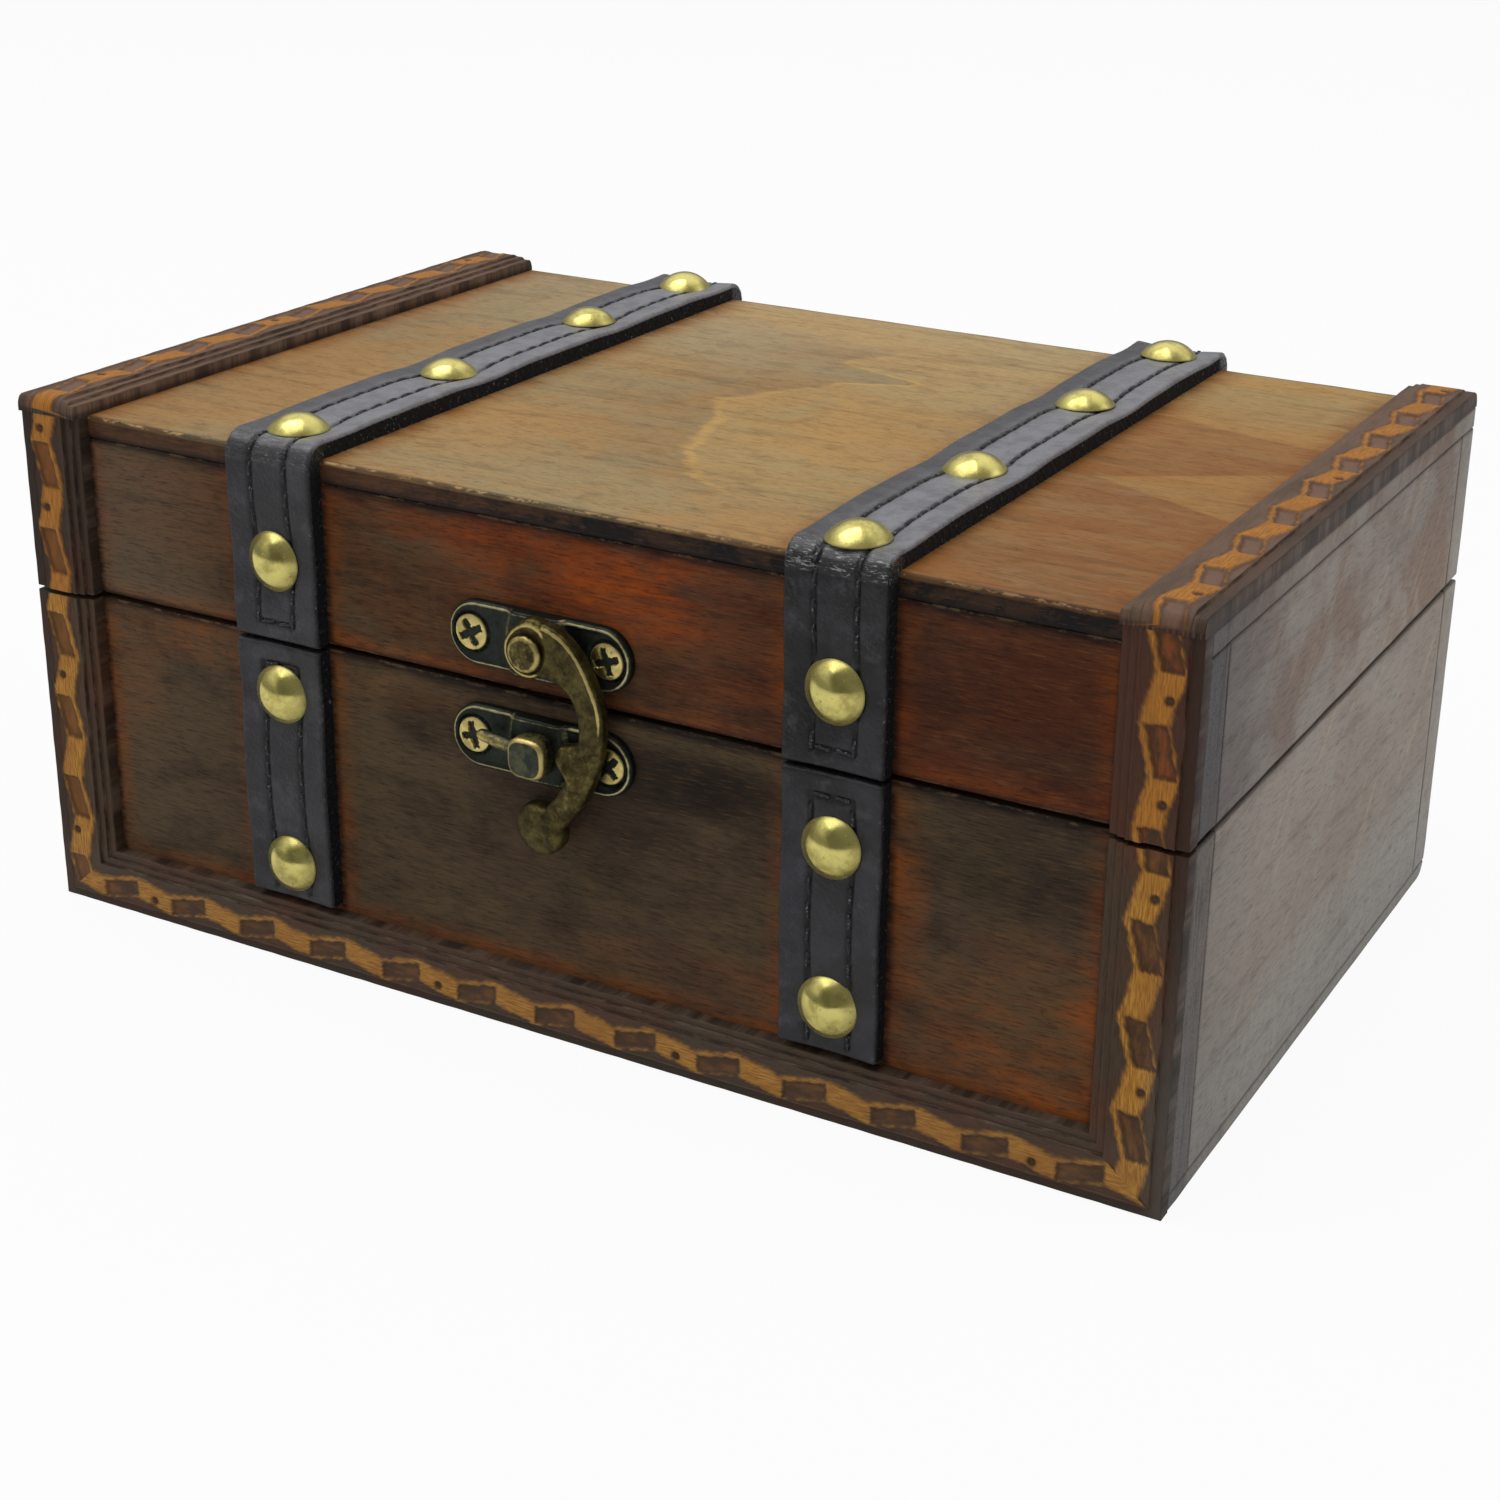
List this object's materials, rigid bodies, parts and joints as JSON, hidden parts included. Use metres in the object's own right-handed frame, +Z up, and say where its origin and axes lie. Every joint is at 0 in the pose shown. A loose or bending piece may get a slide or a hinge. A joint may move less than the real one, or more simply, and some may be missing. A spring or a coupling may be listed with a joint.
{
  "type": "small wooden chest",
  "caption": "Small rectangular wooden chest with a hinged lid, carved edge strips, leather straps held by dome tacks, and a swing hook latch.",
  "frame": {"origin": "middle of the underside of the base, halfway between the front of the strips and the back wall", "axes": "+X along the front to the right, +Y from the front to the back, +Z up"},
  "size_m": [0.225, 0.154, 0.103],
  "materials": {
    "panel_wood": "stained, semi-matt",
    "strip_wood": "burnt and carved",
    "strap_leather": "black, satin",
    "tack_brass": "polished",
    "latch_bronze": "antiqued",
    "screw_brass": "plated",
    "hinge_bronze": "antiqued",
    "pin_steel": "dull"
  },
  "bodies": {
    "base": {"base_bottom_panel": "panel_wood", "base_front_panel": "panel_wood", "base_back_panel": "panel_wood", "base_left_end_panel": "panel_wood", "base_right_end_panel": "panel_wood", "base_left_strip": "strip_wood", "base_right_strip": "strip_wood", "base_bottom_strip": "strip_wood", "base_strip_pins": "pin_steel", "base_left_strap": "strap_leather", "base_right_strap": "strap_leather", "base_strap_tacks": "tack_brass", "catch_plate": "latch_bronze", "catch_stud": "latch_bronze", "catch_plate_screws": "screw_brass", "left_hinge_base_leaf": "hinge_bronze", "right_hinge_base_leaf": "hinge_bronze", "left_hinge_pin": "hinge_bronze", "right_hinge_pin": "hinge_bronze", "hinge_base_screws": "hinge_bronze"},
    "lid": {"lid_top_panel": "panel_wood", "lid_front_panel": "panel_wood", "lid_back_panel": "panel_wood", "lid_left_end_panel": "panel_wood", "lid_right_end_panel": "panel_wood", "lid_left_strip": "strip_wood", "lid_right_strip": "strip_wood", "lid_top_left_strip": "strip_wood", "lid_top_right_strip": "strip_wood", "lid_strip_pins": "pin_steel", "lid_left_strap": "strap_leather", "lid_right_strap": "strap_leather", "lid_strap_tacks": "tack_brass", "latch_plate": "latch_bronze", "latch_rivet": "latch_bronze", "latch_plate_screws": "screw_brass", "left_hinge_lid_leaf": "hinge_bronze", "right_hinge_lid_leaf": "hinge_bronze", "hinge_lid_screws": "hinge_bronze"},
    "latch_hook": {"latch_hook": "latch_bronze"}
  },
  "joints": [
    {"name": "lid_hinge", "type": "hinge", "parent": "base", "child": "lid", "pos_m": [0, 0.0743, 0.06265], "axis": [-1, 0, 0], "range_deg": [0, 170]},
    {"name": "latch_swing", "type": "hinge", "parent": "lid", "child": "latch_hook", "pos_m": [-0.0025, -0.0724, 0.072], "axis": [0, -1, 0], "range_deg": [0, 180]}
  ]
}
